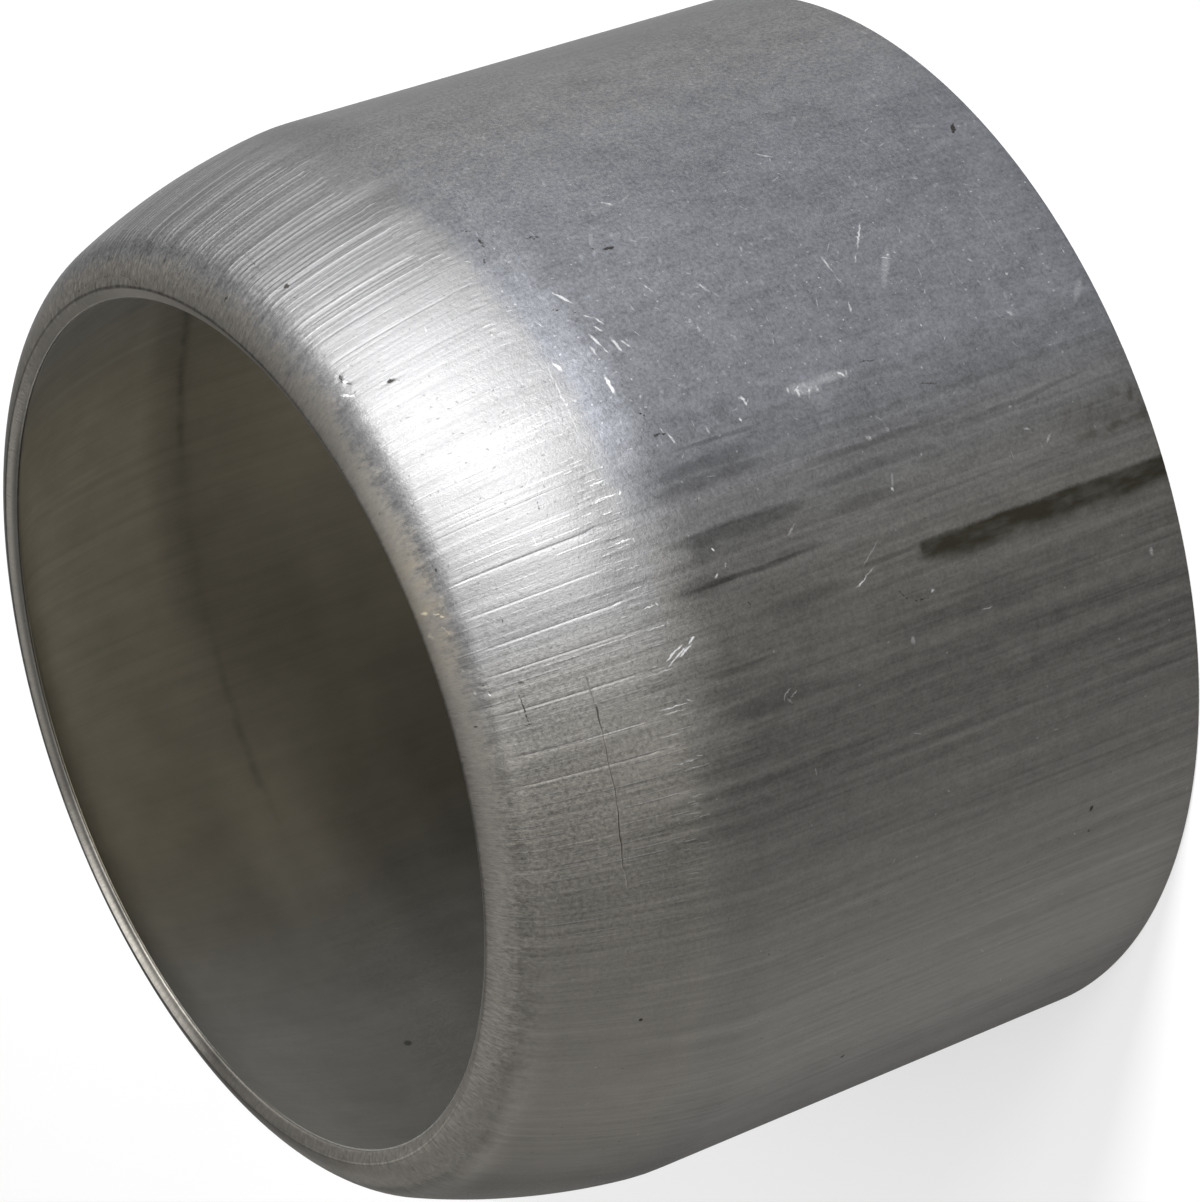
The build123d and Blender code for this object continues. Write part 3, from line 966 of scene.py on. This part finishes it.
def outsidePlace(tree):
    here = surfacePlace(tree)
    flat = here.flat
    # like around, but meets itself at the back, so that what differs left and right has no edge there
    off = maths("ABSOLUTE", here.around)
    here.facing = times(maths("SIGN", here.around), maths("MINIMUM", off, timesPlus(off, -2.0, 360.0)))
    # the rolled end is cleaner; its lower limit is ragged
    here.ragged = timesPlus(here.patches, 2.2, timesPlus(here.lines, 1.2, here.height))
    here.rolled = fade(here.ragged, 30.6, 31.9)
    here.handled = band(here.around, 6, 66, 10)
    here.handledBody = times(here.handled, minus(1.0, here.rolled))
    here.mottle = noise(flat, (1.5, 1.1, 1), 3.0, 0.6)
    here.bands = noise(flat, (0.85, 0.05, 1), 2.0, 0.55)  # broad, along the rolled end
    here.streaks = noise(flat, (1.3, 0.05, 1), 3.0, 0.7)
    here.fineBreak = noise(flat, (3.4, 3.8, 1), 3.0, 0.75)
    here.granular = noise(flat, (6.0, 6.0, 1), 1.0, 0.6)
    here.bared, here.dirty = addNode(tree, "Group", {"Unrolled": flat}, node_tree=placedMarks).outputs
    here.sooty = addNode(tree, "Group", {"Unrolled": flat}, node_tree=placedSoot).outputs[0]
    return here


def drawnTone(here, look):
    # a painted tint of the lamps: cooler on the side towards the key lamps, warmer on the side away from them
    tone = mixTone(fade(here.facing, -6, 16), look["warm"], look["cool"])
    tone = mixTone(fade(timesPlus(here.mottle, 30.0, here.facing), 34, 62), tone, look["plain"])
    tone = mixTone(times(here.rolled, fade(here.facing, -12, 4)), tone, look["plain"])
    return mixTone(times(here.rolled, fade(here.facing, -6, -20, 0, 0.6)), tone, look["brown"])


def drawnLevel(here):
    # how grain, lines, flecks and bands vary the metal, most of all where it is handled
    grainy = timesPlus(here.handledBody, 0.16, fade(here.facing, -48, -22, 0.40, 0.72))
    grainy = timesPlus(times(here.rolled, fade(here.facing, 10, 24)), -0.30, grainy)
    lined = timesPlus(fade(here.facing, 34, 54), -0.18, timesPlus(here.handledBody, -0.22, 0.46))
    lined = timesPlus(times(here.rolled, band(here.around, -36, 12, 6)), 0.34, lined)
    level = timesPlus(here.grain, grainy, 1.0)
    level = timesPlus(here.patches, timesPlus(here.handledBody, 0.25, 0.20), level)
    level = timesPlus(here.mottle, timesPlus(here.handledBody, 0.40, 0.06), level)
    level = timesPlus(here.lines, lined, level)
    flecks = times(strewn(here, "flecks", 0.12, 1.3), timesPlus(here.mottle, 1.6, 1.0))
    level = timesPlus(times(flecks, here.handledBody), 0.24, level)
    banded = times(here.rolled, fade(here.facing, -40, -25))
    banded = times(banded, timesPlus(band(here.around, 40, 86, 6), 0.45, 0.30))
    level = timesPlus(here.bands, banded, level)
    return times(level, timesPlus(times(here.rolled, band(here.around, 44, 66, 5)), -0.12, 1.0))


def soilAndShadeLevel(here, look, level):
    # streaks of soiling along the body, which start higher up and more gently towards the back, set in a band
    # of painted shade; then painted light and shade round the sides and on the far nose, and broad painted
    # shades
    # a darker band round the body, part painted shade and part dirt streaks
    soilAndShade = toneCurve(timesPlus(here.patches, 8.0, here.facing), look["soilAndShade"])
    streaked = timesPlus(here.mottle, -0.3, timesPlus(here.streaks, -0.75, 1.0))
    lifted = over(minus(here.ragged, 28.2), fade(here.facing, -8, -26, 4.2, 8.6))
    soilAndShadeDarkening = times(minus(1.0, soilAndShade), times(streaked, fade(lifted, 1.0, 0.0)))
    level = times(level, minus(1.0, soilAndShadeDarkening))
    # painted light and shade round the sides
    level = times(level, toneCurve(here.facing, look["sideLightAndShade"]))
    farNose = times(fade(here.facing, -66, -80), fade(here.height, 38.5, 40.6))
    level = times(level, timesPlus(farNose, 0.55, 1.0))  # the nose catches light there
    # painted shade: a darker band along the ragged edge of the rolled end, and the broad shades
    ragged = times(band(here.ragged, 28.6, 32.8, 1.2), band(here.around, -14, 11, 6))
    dimmed = timesPlus(ragged, 0.165, shades(here.height, here.facing, look["shades"]))
    level = times(level, minus(1.0, dimmed))
    level = times(level, timesPlus(times(here.rolled, band(here.around, 24, 52, 6)), 0.05, 1.0))
    sooty = times(here.sooty, timesPlus(here.lines, 0.9, timesPlus(here.streaks, 1.6, 0.86)))
    level = times(level, minus(1.0, clamped(sooty)))
    # one long bright scratch, which leans a little
    off = timesPlus(here.around, degreeArc, timesPlus(here.height, -0.0192, 6.881))
    scratch = times(fade(maths("ABSOLUTE", off), 0.07, 0.0, 0.0, 0.16), fade(here.height, 26, 16))
    return times(level, plus(scratch, 1.0))


def burnish(here, look, colour):
    # burnished lines, long on the flank and short below it; the rolling lines, darker the deeper they are,
    # with bright shoulders
    flat = {"Unrolled": here.flat}
    shortLines = {"Across": 2.6, "Along": 1.1, "Half Width": 0.040, "Share": 0.6}
    long = addNode(here.tree, "Group", flat, node_tree=drawnLines).outputs
    short = addNode(here.tree, "Group", flat | shortLines, node_tree=drawnLines).outputs
    cut = times(fade(here.facing, -40, -22, 0.15, 1.0), timesPlus(here.bands, 1.2, 0.8))
    cut = times(cut, timesPlus(band(here.around, 14, 36, 6), -0.55, 1.0))
    onFlank = times(band(here.ragged, 33.2, 40.4, 0.25), cut)
    below = times(band(here.ragged, 31.5, 33.2, 0.3), times(cut, 0.85))
    burnished, shade = (timesPlus(long[i], onFlank, times(short[i], below)) for i in (0, 1))
    colour = mixTone(clamped(times(burnished, 0.42)), colour, look["burnished"])
    colour = shaded(colour, timesPlus(shade, -0.30, 1.0))
    rolledIn = addNode(here.tree, "Attribute", attribute_name="lineDepth").outputs["Fac"]
    colour = shaded(colour, fade(rolledIn, 0.1, 1.0, 1.0, 0.84))
    return mixTone(fade(rolledIn, -0.02, -0.18, 0, 0.50), colour, look["burnished"]), burnished


def noseRing(here, look, colour):
    # the nose, the grey mottled band under it and a grimy line between them, with painted light and shade
    # round the nose
    fineBreak = here.fineBreak
    uneven = timesPlus(fineBreak, 0.9, timesPlus(here.patches, 0.8, times(here.mottle, 0.7)))
    uneven = times(uneven, fade(here.facing, -64, -36, 0.2, 1.0))
    nose = fade(plus(uneven, here.height), 40.45, 41.2)
    blotched = times(band(here.height, 39.7, 41.0, 0.4), plus(fineBreak, here.mottle))
    colour = shaded(colour, timesPlus(blotched, fade(here.facing, 20, 40, 0.45, 0.75), 1.0))
    level = timesPlus(fineBreak, fade(here.facing, 50, 80, 0.20, 0.50), timesPlus(here.grain, 0.40, 1.0))
    # painted light and shade round the nose
    level = times(toneCurve(here.behind, look["noseLight"]), level)
    colour = mixTone(nose, colour, shaded(look["nose"], level))
    below = fade(maths("ABSOLUTE", plus(here.around, 14)), 26, 12)
    grimy = timesPlus(larger(band(here.around, 60, 98, 8), below), 0.34, 0.10)
    grimeBand = band(timesPlus(fineBreak, 1.1, here.height), 40.25, 40.55, 0.22)
    grime = times(times(grimeBand, fade(fineBreak, -0.10, 0.16)), grimy)
    colour = mixTone(grime, colour, look["grime"])
    gilt = times(band(here.around, -2.0, 15.0, 4), fade(here.height, 40.35, 40.9))
    return mixTone(times(gilt, timesPlus(here.mottle, 0.6, 0.13)), colour, look["gilt"]), gilt


def lipFace(here, look, colour):
    # the end face with painted light and shade all the way round and a painted highlight from about 186 to
    # 216 degrees, painted shade along its inner edge on one stretch, and the thin dark line round it
    broken = timesPlus(here.fineBreak, fade(here.behind, 176, 186, 0.25, 0.70), 1.0)
    level = times(toneCurve(here.behind, look["lipLight"]), broken)
    # painted shade along the inner edge, where the end face turns in towards the bore
    inner = times(fade(here.radius, 24.10, 23.76), band(here.behind, 122, 228, 10))
    innerShade = timesPlus(band(here.behind, 190, 207, 9), -0.28, -0.60)
    level = times(level, timesPlus(inner, innerShade, 1.0))
    colour = mixTone(fade(here.radius, 24.30, 24.22), colour, shaded(look["nose"], level))
    rim = band(timesPlus(here.patches, 0.1, here.radius), 24.33, 24.42, 0.06)
    rim = times(rim, fade(here.height, 41.0, 41.15))
    broken = fade(here.fineBreak, -0.15, 0.15, 0.25, 0.60)
    rim = times(rim, timesPlus(band(here.around, 40, 150, 20), broken, 0.20))
    return mixTone(rim, colour, look["grime"])


def darkStreak(here):
    # at the square end: crisp along one side, soft along the other, and blotched, with a spotty one beside it
    lumps = noise(here.flat, (0.5, 0.42, 1), 2.0, 0.6)
    blotches = noise(here.flat, (0.9, 0.32, 1), 3.0, 0.65)
    dabs = noise(here.flat, (0.9, 1.1, 1), 2.0, 0.6)
    edge = timesPlus(here.fineBreak, 0.35, here.around)
    taper = fade(here.height, 17.0, 13.6, 0.85, 0.0)  # narrower towards its tip
    crisp = fade(timesPlus(lumps, 0.5, edge), -4.60, -5.15)
    soft = fade(minus(timesPlus(lumps, 1.1, edge), taper), -8.3, -6.6)
    streak = times(times(crisp, soft), fade(timesPlus(lumps, 1.5, here.height), 16.5, 15.7))
    streak = times(streak, fade(blotches, -0.22, 0.12, 0.62, 0.96))
    second = times(band(edge, -1.2, 2.9, 0.9), fade(here.height, 6.6, 3.4))
    return clamped(timesPlus(second, fade(dabs, -0.12, 0.24, 0.13, 0.58), streak))


def baredMetal(here, gilt, look):
    # nicks and specks of bared metal, thickest on the handled side, with the single marks
    share = times(band(here.around, 12, 40, 10), fade(here.height, 32.5, 30.5))
    trail = band(timesPlus(here.streaks, 1.0, here.around), 16.7, 18.2, 0.3)
    share = timesPlus(times(trail, band(here.height, 2, 25, 1.5)), 1.4, share)
    strays = larger(strewn(here, "specks", timesPlus(share, 0.16, 0.008)),
                    strewn(here, "nicks", timesPlus(share, 0.26, 0.02)))
    bare = timesPlus(strays, fade(here.facing, 2, 16, 0.30, 0.50), here.bared)
    there = fade(bare, 0.05, 0.40)
    soft = clamped(times(bare, timesPlus(here.fineBreak, 1.0, 0.42)))
    bare = timesPlus(plus(here.granular, here.fineBreak), 0.8, bare)
    bare = times(fade(bare, 0.30, 1.0), there)
    giltThere = times(gilt, fade(here.granular, -0.1, 0.2, 0.4, 1.0))
    fresh = mixTone(fade(giltThere, 0.1, 0.8, 0, 0.8), look["bare"], look["freshGilt"])
    return larger(soft, times(bare, 0.80)), fresh


def dirtLeft(here):
    # dirt that stays in the marks and knocks, and dull specks
    share = times(band(here.around, -4, 34, 6), band(here.height, 31, 38, 1.5))
    dull = strewn(here, "dull", timesPlus(share, 0.30, timesPlus(here.handled, 0.20, 0.05)))
    dirt = times(fade(timesPlus(here.granular, 1.3, here.dirty), 0.15, 0.75), fade(here.dirty, 0.02, 0.2))
    knocked = addNode(here.tree, "Attribute", attribute_name="knockDepth").outputs["Fac"]
    return clamped(plus(timesPlus(dull, 0.32, dirt), fade(knocked, 0.28, 0.85, 0, 0.95)))


def outsideMetal():
    look = outsideLook
    material = metalShader("drawnOutside", look)
    here = outsidePlace(material.node_tree)
    colour = shaded(drawnTone(here, look), soilAndShadeLevel(here, look, drawnLevel(here)))
    colour, burnished = burnish(here, look, colour)
    colour, gilt = noseRing(here, look, colour)
    colour = lipFace(here, look, colour)
    streak = darkStreak(here)
    colour = mixTone(streak, colour, look["streak"])
    bare, fresh = baredMetal(here, gilt, look)
    colour = mixTone(bare, colour, fresh)
    dark = dirtLeft(here)
    colour = mixTone(times(dark, 0.9), colour, look["grime"])
    rough = timesPlus(here.grain, 0.25, look["roughness"])
    rough = timesPlus(larger(streak, dark), 0.2, rough)
    rough = timesPlus(larger(bare, burnished), -0.12, rough)
    relief = timesPlus(here.lines, 0.012, times(here.grain, 0.012))
    return finished(material, colour, rough, relief)


boreLook = {
    "golden": (1.10, 1.0, 0.77, 1),
    "plain": (1.015, 1.0, 0.93, 1),
    "roughness": 0.58,
    "spread": 0.5,
    "edgeTone": (0.75, 0.75, 0.75, 1),
    # painted light and shade in the bore: by degrees from the front all the way round, and by height, darker
    # deeper down, with shares
    "boreShadeAround": [
        (60, 0.36), (120, 0.385), (140, 0.4), (150, 0.366), (160, 0.33), (170, 0.275), (180, 0.253),
        (192, 0.236), (202, 0.25), (211, 0.305), (222, 0.36), (300, 0.34)],
    "depth": [(10, 0.52), (17, 0.61), (20, 0.71), (26, 0.87), (29, 0.92), (32, 0.92), (38, 0.93)],
    # painted shade just inside the mouth
    "rim": 0.86,
    # broad soft shades: height from, to and softness, degrees from, to and softness, share added
    "shades": [
        (27.4, 29.8, 0.9, 118, 165, 10, -0.06), (25.5, 30, 1.5, 184, 204, 8, 0.06),
        (-9, 23.75, 1.75, 188, 232, 10, -0.034), (-9, 20.75, 1.25, 163, 177, 6, 0.03),
        (-9, 23, 2, 132, 158, 10, 0.06)],
    "grime": (0.035, 0.035, 0.03, 1),
    "ringHeight": 27.6,  # where the bore stops closing in
    "spot": (225.5, 28.2),  # a small dark spot: degrees and height
}


def boreMetal():
    look = boreLook
    material = metalShader("drawnBore", look)
    here = surfacePlace(material.node_tree, {"Lines": 1.6, "Length": 26.0})
    behind, height, patches = here.behind, here.height, here.patches
    level = timesPlus(here.lines, fade(behind, 160, 190, 0.30, 0.14), 1.0)
    level = timesPlus(here.grain, 0.25, timesPlus(patches, 0.30, level))
    # painted light and shade round the bore
    level = times(level, toneCurve(behind, look["boreShadeAround"]))
    # painted shade, darker deeper down the bore
    level = times(level, toneCurve(height, look["depth"]))
    # painted shade just inside the mouth, darkest from 116 to 172 degrees
    rim = timesPlus(band(behind, 116, 172, 10), -0.30, look["rim"])
    level = times(level, fade(height, 40.4, 41.1, 1.0, rim))
    level = plus(level, shades(height, behind, look["shades"]))
    colour = shaded(mixTone(band(behind, 122, 204, 16), look["plain"], look["golden"]), level)
    # the soft, broken dark line round the bore
    ring = band(timesPlus(patches, 0.7, height), look["ringHeight"] - 0.14, look["ringHeight"] + 0.14, 0.34)
    there = larger(band(behind, 124, 144, 3), times(band(behind, 170, 190, 4), 0.6))
    there = timesPlus(there, 0.46, times(band(behind, 120, 195, 5), 0.10))
    ring = times(ring, times(there, fade(patches, -0.12, 0.10, 1.0, 0.5)))
    x, y = times(minus(behind, look["spot"][0]), degreeArc), minus(height, look["spot"][1])
    ring = larger(ring, fade(timesPlus(x, x, times(y, y)), 0.10, 0.01, 0, 0.6))
    colour = mixTone(ring, colour, look["grime"])
    return finished(material, colour, timesPlus(here.grain, 0.2, look["roughness"]), times(here.lines, 0.008))


footLook = {
    "tone": (0.34, 0.34, 0.335, 1),
    "dull": (0.20, 0.20, 0.19, 1),
    "roughness": 0.48,
    "spread": 0.4,
    "edgeTone": (0.8, 0.8, 0.8, 1),
}


def footMetal():
    # the square end as the saw and file left it
    look = footLook
    material = metalShader("sawnFoot", look)
    here = surfacePlace(material.node_tree, flatGrain=False)
    saw = noise(here.spot, (0.25, 7.0, 1.0), 3.0, 0.6, "3D")
    tone = mixTone(fade(saw, -0.15, 0.15), look["dull"], look["tone"])
    tone = mixTone(fade(here.patches, -0.05, 0.2, 0, 0.5), tone, look["dull"])
    colour = shaded(tone, timesPlus(here.grain, 0.4, 1.0))
    return finished(material, colour, timesPlus(saw, 0.25, look["roughness"]), times(saw, 0.02))


for finishMaterial in (outsideMetal(), boreMetal(), footMetal()):
    sleeve.data.materials.append(finishMaterial)
    print("material", finishMaterial.name, len(finishMaterial.node_tree.nodes), "nodes")

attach(sleeve, "root")
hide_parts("sleeve")

studio = {
    "floorSize": 4.0,
    "floorColour": (0.48, 0.48, 0.48, 1),
    "floorRoughness": 0.9,
    "floorGlow": 0.55,  # seen directly, in the metal and through glass; it lights nothing
    "worldStrength": 0.15,
}


def seenDirectly(tree):
    # 1 for rays from the camera, off metal or through glass
    path = addNode(tree, "LightPath").outputs
    return larger(larger(path["Is Camera Ray"], path["Is Glossy Ray"]), path["Is Transmission Ray"])


def buildFloor():
    half = studio["floorSize"] / 2
    mesh = bpy.data.meshes.new("floor")
    corners = [(-half, -half, 0), (half, -half, 0), (half, half, 0), (-half, half, 0)]
    mesh.from_pydata(corners, [], [(0, 1, 2, 3)])
    floor = bpy.data.objects.new("floor", mesh)
    bpy.context.scene.collection.objects.link(floor)
    material = bpy.data.materials.new("paleFloor")
    material.use_nodes = True
    tree = material.node_tree
    shader = tree.nodes["Principled BSDF"].inputs
    shader["Base Color"].default_value = studio["floorColour"]
    shader["Roughness"].default_value = studio["floorRoughness"]
    shader["Specular IOR Level"].default_value = 0.0
    shader["Emission Color"].default_value = (1, 1, 1, 1)
    away = made("VectorMath", {0: addNode(tree, "TexCoord").outputs["Object"]}, "Value", operation="LENGTH")
    # painted shadow on the floor inside the bore, where the glow is halved
    shadowedInBore = fade(away, (tubeRadius - 5) * mm, tubeRadius * mm, 0.5, 1.0)  # half the glow inside the bore
    connect({"Emission Strength": times(times(seenDirectly(tree), studio["floorGlow"]), shadowedInBore)}, shader)
    mesh.materials.append(material)
    return floor


def buildWorld():
    world = bpy.data.worlds.new("studio")
    bpy.context.scene.world = world
    world.use_nodes = True
    tree = world.node_tree
    background = tree.nodes["Background"]
    background.inputs["Color"].default_value = (1, 1, 1, 1)
    background.inputs["Strength"].default_value = studio["worldStrength"]


floor = buildFloor()
buildWorld()

# Soft boxes: degrees round from the front towards +X, lift, distance, width, height, radiance
softBoxes = {
    "keyFront": (25, 7, 0.6, 0.12, 0.10, 69.7),
    "keyLow": (45, 3, 0.6, 0.12, 0.10, 7.3),
    "keyMid": (45, 12, 0.6, 0.12, 0.10, 33.0),
    "keyTop": (45, 32, 0.6, 0.12, 0.12, 64.3),
    "keySide": (62, 8, 0.6, 0.12, 0.10, 16.5),
    "front": (0, 45, 0.6, 0.30, 0.20, 3.9),
    "right": (80, 15, 0.6, 0.30, 0.25, 1.1),
    "rightHigh": (90, 50, 0.6, 0.40, 0.30, 1.0),
    "left": (-80, 15, 0.6, 0.30, 0.25, 1.2),
    "leftBack": (-120, 15, 0.6, 0.30, 0.25, 1.9),
    "over": (0, 88, 0.6, 0.50, 0.50, 1.1),
}


def softBox(name, around, lift, distance, width, height, radiance, colour=(1, 1, 1)):
    # an area lamp aimed at the sleeve's middle
    lamp = bpy.data.lights.new(name, "AREA")
    lamp.shape = "RECTANGLE"
    lamp.size, lamp.size_y = width, height
    lamp.energy = radiance * math.pi * width * height  # watts for that radiance
    lamp.color = colour
    holder = bpy.data.objects.new(name, lamp)
    a, e = math.radians(around), math.radians(lift)
    aim = Vector((0, 0, tubeLength / 2 * mm))
    side = Vector((math.sin(a) * math.cos(e), -math.cos(a) * math.cos(e), math.sin(e)))
    holder.location = aim + distance * side
    holder.rotation_euler = (aim - holder.location).to_track_quat("-Z", "Y").to_euler()
    bpy.context.scene.collection.objects.link(holder)
    return holder


for lampName, settings in softBoxes.items():
    softBox(lampName, *settings)
print("studio lit by", len(softBoxes), "soft boxes")

cameraView = {
    "lens": 157.44,
    "distance": 9.679 * 30 * mm,
    "lift": 29.34,
    "roll": 109.44,
    "aim": Vector((0, 0, 0.591 * 30 * mm)),
}


def buildCamera():
    camera = bpy.data.objects.new("camera", bpy.data.cameras.new("camera"))
    bpy.context.scene.collection.objects.link(camera)
    camera.data.lens = cameraView["lens"]
    camera.data.clip_start = 0.01
    lift = math.radians(cameraView["lift"])
    forward = Vector((0, math.cos(lift), -math.sin(lift)))
    camera.location = cameraView["aim"] - forward * cameraView["distance"]
    camera.rotation_euler = (forward.to_track_quat("-Z", "Y").to_matrix()
                             @ Matrix.Rotation(math.radians(-cameraView["roll"]), 3, "Z")).to_euler()
    bpy.context.scene.camera = camera


buildCamera()
bpy.context.scene.view_settings.view_transform = "Standard"
